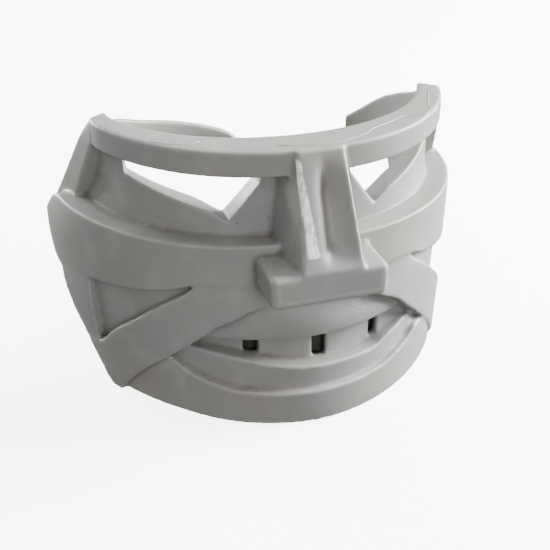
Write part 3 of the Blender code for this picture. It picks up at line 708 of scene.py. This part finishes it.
def noseSolid():
    # leans forward from the brow to the block, whose front it meets without an edge
    sizes, cheek, top = noseSizes, maskSizes["cheekHeight"], maskSizes["height"]
    low = cheek - sizes["blockDrop"] - 0.5 * sizes["blockHeight"]
    rootFace = ringFront("band", top) - sizes["rootProud"]
    tipFace = ringFront("band", cheek) - sizes["blockReach"]
    footFace = ringFront("base", cheek) + sizes["footSink"]
    shares = np.linspace(0.0, 1.0, sizes["columns"])
    hollows = np.interp(shares, [row[0] for row in sizes["profile"]], [row[1] for row in sizes["profile"]])
    hollows[1:-1] = 0.25 * hollows[:-2] + 0.5 * hollows[1:-1] + 0.25 * hollows[2:]

    def build(shape):
        rings = []
        for height in np.linspace(low, top + 0.002, sizes["rows"]):
            rise = (height - cheek + sizes["blockDrop"]) / (top - cheek + sizes["blockDrop"])
            rise = min(1.0, max(0.0, rise))
            face = tipFace + (rootFace - tipFace) * rise
            half = sizes["tipHalf"] + (sizes["topHalf"] - sizes["tipHalf"]) * rise
            flute = sizes["flute"] * softStep(rise * sizes["fluteFoot"])
            flute = flute * softStep((1.0 - rise) * sizes["fluteHead"])
            ring = [(-half - sizes["footFlare"], footFace)]
            for share, hollow in zip(shares, hollows):
                ring.append(((2.0 * share - 1.0) * half, face + flute * hollow))
            ring.append((half + sizes["footFlare"], footFace))
            rings.append([shape.verts.new((x + sizes["shift"], y, height)) for x, y in ring])
        for a, b in zip(rings, rings[1:]):
            for k in range(len(a)):
                n = (k + 1) % len(a)
                shape.faces.new((a[k], a[n], b[n], b[k]))
        shape.faces.new(list(reversed(rings[0])))
        shape.faces.new(rings[-1])
    return closedMesh("nose", build)


def noseBlock():
    sizes, cheek = noseSizes, maskSizes["cheekHeight"]
    high = cheek - sizes["blockDrop"]
    half = 0.5 * sizes["blockWidth"]
    front, rear = ringFront("band", cheek) - sizes["blockReach"], ringFront("base", cheek) + 0.002
    return blockSolid("noseBlock", (-half, front, high - sizes["blockHeight"]), (half, rear, high),
                      sizes["blockBreak"])


def cutAway(item, cutters):
    shape = bmesh.new()
    shape.from_mesh(item.data)
    bmesh.ops.triangulate(shape, faces=shape.faces)
    shape.to_mesh(item.data)
    shape.free()
    for cutter in cutters:
        modifier = item.modifiers.new("cut", "BOOLEAN")
        modifier.operation = "DIFFERENCE"
        modifier.solver = "EXACT"
        modifier.object = cutter
    return finishMesh(item)


def fuse(name, items):
    # overlapping solids become one skin, whose edges are then rounded
    shape = bmesh.new()
    for item in items:
        shape.from_mesh(item.data)
        bpy.data.objects.remove(item)
    mesh = bpy.data.meshes.new(name)
    shape.to_mesh(mesh)
    shape.free()
    fused = newObject(name, mesh)
    remesh = fused.modifiers.new("skin", "REMESH")
    remesh.mode = "VOXEL"
    remesh.voxel_size = maskSizes["voxel"]
    smooth = fused.modifiers.new("round", "SMOOTH")
    smooth.factor = 0.5
    smooth.iterations = maskSizes["softening"]
    finishMesh(fused)
    count = len(fused.data.polygons) * 2
    thin = fused.modifiers.new("thin", "DECIMATE")
    thin.ratio = min(1.0, maskSizes["triangles"] / count)
    finishMesh(fused)
    fused.data.shade_smooth()
    return fused


# Rounds of averaging: how far round a point its height above the skin is measured, and how soft the result is
reliefRounds = {"near": 7, "wide": 60, "reliefSoft": 2, "shelterSoft": 8}


def markRelief(item):
    # raised edges, narrow creases and sheltered hollows in millimetres for each vertex, read by the plastic,
    # which paints highlights on the edges and shade in the creases and hollows
    mesh = item.data
    count = len(mesh.vertices)
    places, normals = readPoints(mesh), readPoints(mesh, "normal")
    ends = np.empty(len(mesh.edges) * 2, int)
    mesh.edges.foreach_get("vertices", ends)
    first, second = ends[0::2], ends[1::2]
    links = np.maximum(np.bincount(first, minlength=count) + np.bincount(second, minlength=count), 1)

    def spread(values, rounds):
        for step in range(rounds):
            columns = []
            for column in values.T:
                total = np.bincount(first, column[second], count) + np.bincount(second, column[first], count)
                columns.append(total / links)
            values = 0.5 * values + 0.5 * np.stack(columns, 1)
        return values

    near = spread(places, reliefRounds["near"])
    wide = spread(near, reliefRounds["wide"])
    for name, moved in (("relief", near), ("shelter", wide)):
        proud = ((places - moved) * normals).sum(1, keepdims=True)
        writeAttribute(mesh, name, spread(proud, reliefRounds[name + "Soft"])[:, 0] * 1000.0)


plasticLook = {
    "warm": (0.236, 0.226, 0.205, 1.0),
    "cool": (0.238, 0.240, 0.239, 1.0),
    # paler grey for random wear, and for the painted highlights on raised edges
    "wearAndHighlight": (0.44, 0.44, 0.42, 1.0),
    # painted shade: brown for narrow creases and for sheltered hollows
    "creaseShade": (0.085, 0.078, 0.068, 1.0),
    "deep": (0.100, 0.086, 0.070, 1.0),
    # painted shade: near-black in the gaps between the teeth
    "hollow": (0.020, 0.018, 0.016, 1.0),
    # painted highlight: near-white along the wet streak and in the lip's glints
    "paintedHighlight": (0.92, 0.93, 0.95, 1.0),
    # painted reflection of a bluish sky, darker than the plastic, which also serves as painted shade in the
    # flute
    "paintedSkyReflection": (0.178, 0.187, 0.200, 1.0),
    "pit": (0.045, 0.042, 0.040, 1.0),
    # how much of each colour shows at most
    "edgeHighlightShare": 0.42,
    "deepShare": 0.50,
    "creaseShadeShare": 0.70,
    "skyReflectionShare": 0.80,
    "gapShadeShare": 0.90,
    "seamShare": 0.08,
    "pitShare": 0.55,
    # clouds a metre
    "stainScale": 24.0,
    "wearScale": 70.0,
    "grainScale": 420.0,
    "smearScale": 620.0,
    "sparkleScale": 1300.0,
    "roughness": 0.47,
    "glossRoughness": 0.16,
    "specular": 0.45,
    "coat": 0.05,
    "coatRoughness": 0.30,
    "bump": 0.40,
    "bumpDepth": 0.00022,
    # top and foot of the wet streak on the nose's broad ridge, and its half width at both
    "streak": ((-0.0055, -0.0690, 0.1066), (-0.0036, -0.0818, 0.0770)),
    "streakWidths": (0.0014, 0.0028),
    "streakReach": 0.0016,      # how far from the line in depth it still shows
    "streakWander": 0.0016,
    # the band beside the streak carries the painted sky reflection and painted shade of the flute
    "band": (0.0026, 0.0030),   # the duller band beside it: distance and width
    # middle and half size of the wet patch on the upper lip, across and up
    "lipPatch": ((0.0215, 0.0130), (0.0430, 0.0090)),
    "seam": (0.0058, 0.00030),  # the mould's seam on the block: place and half width
    # where the small air bubbles of the cast broke open
    "pits": ((-0.0492, -0.0379, 0.0795), (-0.0233, -0.0534, 0.0803), (-0.0011, -0.0636, 0.0241),
             (-0.0207, -0.0668, 0.0145), (0.0144, -0.0707, 0.0143), (-0.0123, -0.0562, 0.0820)),
    "pitRadius": 0.00052,
}


def castPlasticLook(material):
    look = plasticLook
    tree = material.node_tree
    shader = tree.nodes["Principled BSDF"]
    place = wireFrom(tree, "ShaderNodeTexCoord", {}, {}, "Object")
    x, y, z = place.parts()
    facing = 0.0 - y

    def marked(name):
        return wireFrom(tree, "ShaderNodeAttribute", {"attribute_name": name}, {}, "Fac")

    def cloud(scale, detail, rough=0.5, where=place):
        sockets = {"Vector": where, "Scale": scale, "Detail": detail, "Roughness": rough}
        return wireFrom(tree, "ShaderNodeTexNoise", {}, sockets, "Fac")

    def mix(factor, first, second):
        return wireFrom(tree, "ShaderNodeMix", {"data_type": "RGBA"}, {0: factor, 6: first, 7: second}, 2)

    def near(value, middle, width):
        return (1.0 - abs(value - middle) / width).held()

    # a warm and a cool grey in soft clouds with random paler wear, raised edges paler as painted highlights,
    # creases and hollows browner as painted shade
    relief, shelter = marked("relief"), marked("shelter")
    grain, stain = cloud(look["grainScale"], 4.0, 0.6), cloud(look["stainScale"], 3.0)
    colour = mix(((stain - 0.5) * 3.2 + 0.5).held(), look["warm"], look["cool"])
    colour = mix(((cloud(look["wearScale"], 3.0) - 0.52) * 0.9).held(), colour, look["wearAndHighlight"])
    # raised edges painted paler as painted highlights, broken up by the grain
    edge = (relief * 8.0 - 0.45).held() * (0.35 + 0.9 * (grain - 0.25)).held()
    colour = mix(edge * look["edgeHighlightShare"], colour, look["wearAndHighlight"])
    # painted shade, stronger the more a point is sheltered
    deep = (shelter * -0.85 - 0.28).held() * (0.70 + 0.8 * (stain - 0.3)).held()
    colour = mix(deep * look["deepShare"], colour, look["deep"])
    # painted shade in narrow creases
    creaseShade = (relief * -9.0 - 0.50).held()
    colour = mix(creaseShade * look["creaseShadeShare"], colour, look["creaseShade"])

    # a wet streak on the nose's broad ridge and a patch on the lip, where the mould was smoother: less rough
    # there, with a painted highlight along the streak and painted glints on the lip
    stretched = wireFrom(tree, "ShaderNodeMapping", {}, {"Vector": place, "Scale": (1.0, 1.0, 0.16)})
    smear = cloud(look["smearScale"], 4.0, 0.6, stretched)
    (topX, topY, topZ), (footX, footY, footZ) = look["streak"]
    down = (topZ - z) / (topZ - footZ)
    aside, ahead = x - topX - down * (footX - topX), y - topY - down * (footY - topY)
    onRidge = (1.0 - abs(ahead) / look["streakReach"]).held().soft(0.0, 0.4)
    onRidge = onRidge * (down + 0.12).soft(0.0, 0.16) * (1.03 - down).soft(0.0, 0.05)
    narrow, broad = look["streakWidths"]
    wander = (cloud(300.0, 2.0) - 0.5) * look["streakWander"]
    streak = (1.0 - abs(aside + wander) / (narrow + down.held() * (broad - narrow))).held() * onRidge
    ridge = (streak.soft(0.05, 0.55) * (0.55 + 3.4 * (smear - 0.40)).held()).held()
    acrossLip, upLip = look["lipPatch"]
    lip = near(x, *acrossLip) * near(z, *upLip) * facing.above(0.040)
    sparkle = ((cloud(look["sparkleScale"], 2.0, 0.6) - 0.54) * 7.0).held() * lip.soft(0.0, 0.9)
    wet = (ridge + sparkle * 0.55).held()
    # painted bluish sky reflection and painted shade in the band beside the streak
    colour = mix(near(aside, *look["band"]) * onRidge * look["skyReflectionShare"], colour, look["paintedSkyReflection"])
    # painted highlight along the streak and painted glints on the lip
    colour = mix((ridge * 0.85 + sparkle * 0.22).held(), colour, look["paintedHighlight"])
    # the gaps between the teeth painted near-black, as painted shade
    colour = mix(marked("hollow") * look["gapShadeShare"], colour, look["hollow"])

    # the mould's seam down the block's front, and broken air bubbles
    seam = near(x, *look["seam"]) * facing.above(0.0820)
    colour = mix(seam * look["seamShare"], colour, look["wearAndHighlight"])
    pits = 0.0
    for across, depth, height in look["pits"]:
        apartX, apartY, apartZ = x - across, y - depth, z - height
        distance = (apartX * apartX + apartY * apartY + apartZ * apartZ) ** 0.5
        pits = pits + (1.0 - distance / look["pitRadius"]).held()
    pits = pits.soft(0.0, 0.6)
    colour = mix(pits * look["pitShare"], colour, look["pit"])

    roughness = look["roughness"] + (grain - 0.5) * 0.20 + (deep + creaseShade) * 0.15
    roughness = roughness - wet * (look["roughness"] - look["glossRoughness"])
    height = cloud(1100.0, 3.0, 0.6) * 0.22 + cloud(170.0, 3.0) * 0.7 + ridge * smear * 1.6 + sparkle * 0.5
    height = height + seam * 0.35 - pits * 2.5
    bump = wireFrom(tree, "ShaderNodeBump", {}, {"Height": height, "Strength": look["bump"],
                                                 "Distance": look["bumpDepth"]})
    tree.links.new(colour.socket, shader.inputs["Base Color"])
    tree.links.new(roughness.held(0.08, 1.0).socket, shader.inputs["Roughness"])
    tree.links.new(bump.socket, shader.inputs["Normal"])
    shader.inputs["Specular IOR Level"].default_value = look["specular"]
    shader.inputs["Coat Weight"].default_value = look["coat"]
    shader.inputs["Coat Roughness"].default_value = look["coatRoughness"]


# Where the parting line runs on the brow's top: angle, and distance behind its front face in millimetres
seamLines = {
    "browSeam": ((-10.0, 6.1), (-1.5, 3.5), (4.8, 2.8), (11.8, 4.0), (19.5, 6.2), (25.5, 8.2), (33.0, 8.2),
                 (38.8, 6.1), (40.3, 3.2), (42.8, 1.2), (49.5, 3.3), (54.8, 4.6), (62.5, 5.3)),
    "browNick": ((-45.5, 1.5), (-42.0, 2.2), (-39.3, 2.8), (-36.8, 3.5), (-33.0, 8.6)),
}
seamSizes = {
    "radius": 0.00036,
    "sunk": 0.42,               # share of the radius
    "points": 220,
    "sides": 8,
    "ripples": (61.0, 143.0),
    "rippleShare": 0.10,
    "flashHighlight": 0.3,
}


# The thin flash of the mould's parting line, along the top of the brow bar
def partingLine(name, shift):
    inputs = (("Points", "Int"), ("Radius", "Float"), ("First Angle", "Float"), ("Last Angle", "Float"),
              ("Half Width", "Float"), ("Front Reach", "Float"), ("Back Reach", "Float"),
              ("Arm Wall", "Float"), ("Mask Height", "Float"), ("Level", "Float"), ("Material", "Material"))
    route = seamLines[name]
    tree, given = newTree(name + "Rule", inputs)
    line = wireFrom(tree, "GeometryNodeCurvePrimitiveLine")
    path = wireFrom(tree, "GeometryNodeResampleCurve", {}, {"Curve": line, "Count": given["Points"]})
    along = wireFrom(tree, "GeometryNodeSplineParameter", {}, {}, "Factor")
    angle = given["First Angle"] + (given["Last Angle"] - given["First Angle"]) * along
    inset = overAngles(angle, route, 100.0) * 0.001
    slow, quick = seamSizes["ripples"]
    rise = along.maths("SINE", along * slow) + along.maths("SINE", along * quick)
    top = given["Level"] + given["Radius"] * (rise * seamSizes["rippleShare"] - seamSizes["sunk"])
    place = ringPlace(given, angle, top, 0.0, inset, ("band", "base"))
    bent = wireFrom(tree, "GeometryNodeSetPosition", {}, {"Geometry": path, "Position": place})
    ring = wireFrom(tree, "GeometryNodeCurvePrimitiveCircle", {},
                    {"Resolution": seamSizes["sides"], "Radius": given["Radius"]})
    tube = wireFrom(tree, "GeometryNodeCurveToMesh", {},
                    {"Curve": bent, "Profile Curve": ring, "Fill Caps": True})
    endTree(tree, tube, given["Material"])
    values = bandValues(0, 0, route[0][0], route[-1][0])
    values.update({"Points": seamSizes["points"], "Radius": seamSizes["radius"],
                   "Level": maskSizes["height"] * maskSizes["topShare"]})
    seam = fromNodes(name, tree, values)
    seam.data.transform(Matrix.Translation(shift))
    seam.data.shade_smooth()
    # the flash counts as a raised edge, so the plastic paints it pale as a painted highlight
    writeAttribute(seam.data, "relief", np.full(len(seam.data.vertices), seamSizes["flashHighlight"]))
    return seam


def makeMask():
    print("bands and shell")
    shell = shellPiece()
    raised = bandParts()
    rear = rearCutter()
    wide, top = 0.4, maskSizes["height"]
    above = blockSolid("aboveTop", (-wide, -wide, top), (wide, wide, top + 0.05))
    below = blockSolid("belowRim", (-wide, -wide, -0.05), (wide, wide, 0.0))
    eyes = [eyeCutter(-1.0), eyeCutter(1.0)]
    gaps = toothGaps()
    print("cuts")
    cutAway(shell, eyes + [gaps, rear, below])
    cuts = {"cheekBand": [rear], "jawPost": [rear], "cheekFloor": [rear], "jawBand": [rear, below],
            "chinBand": [below], "browBar": [above]}
    for item in raised:
        name = item.name.split(".")[0]
        if name in cuts:
            cutAway(item, cuts[name])
    nose = cutAway(noseSolid(), [above])
    print("one skin")
    mask = fuse("faceMask", [shell, nose, noseBlock()] + raised)
    markGapShade(mask, gaps)
    for tool in eyes + [gaps, rear, above, below]:
        bpy.data.objects.remove(tool)
    return mask


# Holds the skin just inside the solid's box, and leaves room above it for the parting line
def fitToBox(item):
    places = readPoints(item.data)
    low, high = places.min(0), places.max(0)
    cadLow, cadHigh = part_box("face_mask")
    scale = [min(1.0, (cadHigh[k] - cadLow[k] - maskSizes["boxGap"]) / (high[k] - low[k])) for k in (0, 1)]
    shift = [(cadLow[k] + cadHigh[k]) / 2 - scale[k] * (low[k] + high[k]) / 2 for k in (0, 1)]
    shift = Vector(shift + [0.0])
    rise = maskSizes["height"] * maskSizes["topShare"] / (high[2] - low[2])
    fit = Matrix.Diagonal((scale[0], scale[1], rise, 1.0))
    item.data.transform(Matrix.Translation(shift) @ fit @ Matrix.Translation((0.0, 0.0, -low[2])))
    return shift


castPlastic = bpy.data.materials.new("castPlastic")
castPlastic.use_nodes = True
mask = makeMask()
maskShift = fitToBox(mask)
mask.data.materials.clear()
mask.data.materials.append(castPlastic)
print("plastic")
markRelief(mask)
castPlasticLook(castPlastic)
triangles = sum(len(face.vertices) - 2 for face in mask.data.polygons)
print("mask", len(mask.data.vertices), "points,", triangles, "triangles")
print("parting line")
for piece in [mask] + [partingLine(name, maskShift) for name in seamLines]:
    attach(piece, "root")
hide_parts("face_mask")

studio = {
    "camera": (-0.10935, -0.36830, 0.23860),    # where the photograph was taken from
    "yaw": -17.71,
    "elevation": 28.87,
    "lens": 65.3,
    "floorHalf": 3.0,
    "backdropHeight": 4.0,
    "floorColour": (0.90, 0.90, 0.90, 1.0),
    "floorGlow": 6.0,
    "sky": (0.20, 0.84),                        # light from below and from above
    # name, place, size and power of each lamp. The strongest stands on the right
    "lamps": (("key", (1.00, 0.02, 0.44), 0.70, 92.0), ("above", (-0.10, 0.30, 1.30), 1.00, 2.0),
              ("rear", (-0.55, 0.95, 0.26), 0.50, 28.0), ("inside", (0.00, 0.02, 0.40), 0.20, 0.3),
              ("window", (0.02, -0.95, 0.36), 0.36, 3.4)),
    "lampTarget": (0.0, 0.0, 0.05),
}


def glowingFloor():
    material = bpy.data.materials.new("paleFloor")
    material.use_nodes = True
    shader = material.node_tree.nodes["Principled BSDF"]
    shader.inputs["Base Color"].default_value = studio["floorColour"]
    shader.inputs["Roughness"].default_value = 0.9
    shader.inputs["Emission Color"].default_value = studio["floorColour"]
    shader.inputs["Emission Strength"].default_value = studio["floorGlow"]
    return material


# A grey sky that is darker low down
def softSky():
    world = bpy.data.worlds.new("studio")
    world.use_nodes = True
    tree = world.node_tree
    height = wireFrom(tree, "ShaderNodeTexCoord", {}, {}, "Generated").parts()[2]
    low, high = studio["sky"]
    strength = low + (height * 0.5 + 0.5).held() * (high - low)
    tree.links.new(strength.socket, tree.nodes["Background"].inputs["Strength"])
    tree.nodes["Background"].inputs["Color"].default_value = (1.0, 1.0, 1.0, 1.0)
    return world


def softLight(name, place, size, power):
    lamp = bpy.data.lights.new(name, "AREA")
    lamp.shape = "DISK"
    lamp.size = size
    lamp.energy = power
    item = bpy.data.objects.new(name, lamp)
    item.location = place
    item.rotation_euler = (Vector(studio["lampTarget"]) - Vector(place)).to_track_quat("-Z", "Y").to_euler()
    item.visible_camera = False
    bpy.context.scene.collection.objects.link(item)


print("floor, light and camera")
floorHalf = studio["floorHalf"]
floor = blockSolid("floor", (-floorHalf, -floorHalf, -0.02), (floorHalf, floorHalf, 0.0))
backdrop = blockSolid("backdrop", (-floorHalf, -floorHalf, -0.05),
                      (floorHalf, floorHalf, studio["backdropHeight"]))
paleFloor = glowingFloor()
for plain in (floor, backdrop):
    plain.data.materials.append(paleFloor)
    plain.visible_diffuse = False      # white as it is, it sends no light back onto the mask's shaded front
    plain.visible_glossy = False
backdrop.visible_shadow = False
for lamp in studio["lamps"]:
    softLight(*lamp)
bpy.context.scene.world = softSky()

lens = bpy.data.cameras.new("camera")
lens.lens = studio["lens"]
lens.sensor_width = 36.0
lens.clip_start = 0.01
camera = bpy.data.objects.new("camera", lens)
camera.location = studio["camera"]
camera.rotation_euler = (math.radians(90.0 - studio["elevation"]), 0.0, math.radians(studio["yaw"]))
bpy.context.scene.collection.objects.link(camera)
bpy.context.scene.camera = camera
